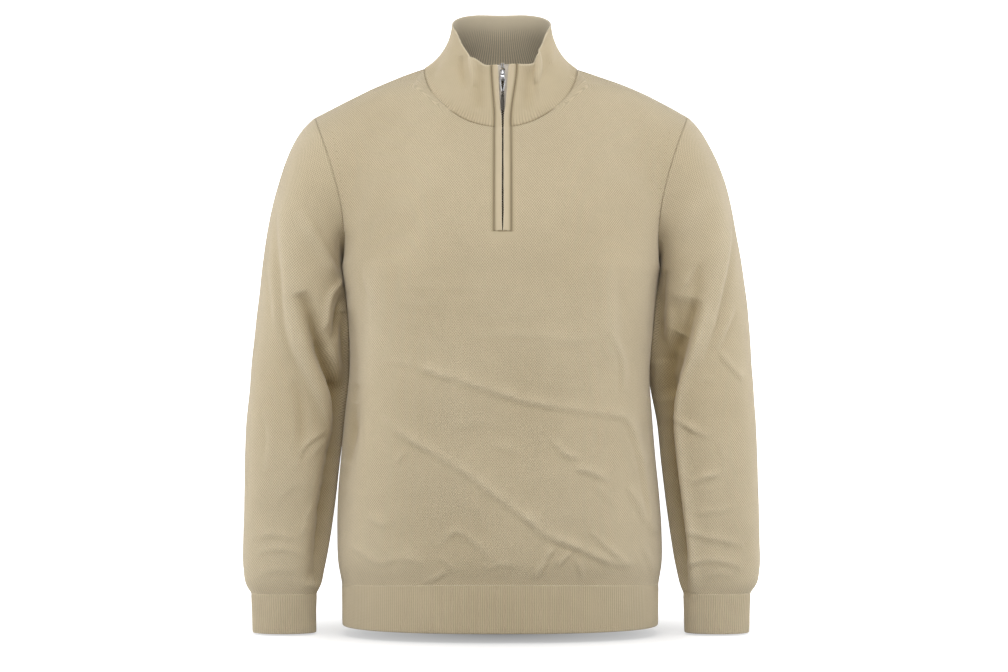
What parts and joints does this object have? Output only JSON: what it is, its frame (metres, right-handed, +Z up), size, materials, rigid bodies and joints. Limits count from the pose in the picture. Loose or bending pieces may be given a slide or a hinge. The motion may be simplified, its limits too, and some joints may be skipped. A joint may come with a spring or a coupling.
{
  "type": "quarter zip sweater",
  "caption": "Long-sleeved knitted pullover, filled out as worn, with a ribbed stand collar, a zip from collar to chest, and ribbed hem and cuffs.",
  "frame": {"origin": "midway between the two neck points, where the shoulder seams meet the collar, on the level where the wearer's shoulders hold the garment", "axes": "+Z up, -Y towards the front of the wearer, +X towards the wearer's left"},
  "size_m": [0.6422, 0.274, 0.7736],
  "materials": {
    "knit": "fine bird's-eye knit, matt, khaki",
    "rib": "one by one rib knit, matt, khaki",
    "binding": "plain jersey binding, matt, khaki",
    "tape": "woven zip tape, grey",
    "chrome": "bright plated metal",
    "dark_metal": "dark plated metal"
  },
  "bodies": {
    "garment": {"front": "knit", "back": "knit", "sleeve_left": "knit", "sleeve_right": "knit", "collar": "rib", "hem_rib": "rib", "cuff_left": "rib", "cuff_right": "rib", "zip_binding_left": "binding", "zip_binding_right": "binding", "zip_tape_left": "tape", "zip_tape_right": "tape", "zip_stop_left": "chrome", "zip_stop_right": "chrome", "zip_slider": "chrome"},
    "pull": {"zip_pull": "dark_metal"}
  },
  "joints": [
    {"name": "pull_swing", "type": "hinge", "parent": "garment", "child": "pull", "pos_m": [0.002, -0.06069, -0.01699], "axis": [-1, 0, 0], "range_deg": [0, 160]}
  ]
}
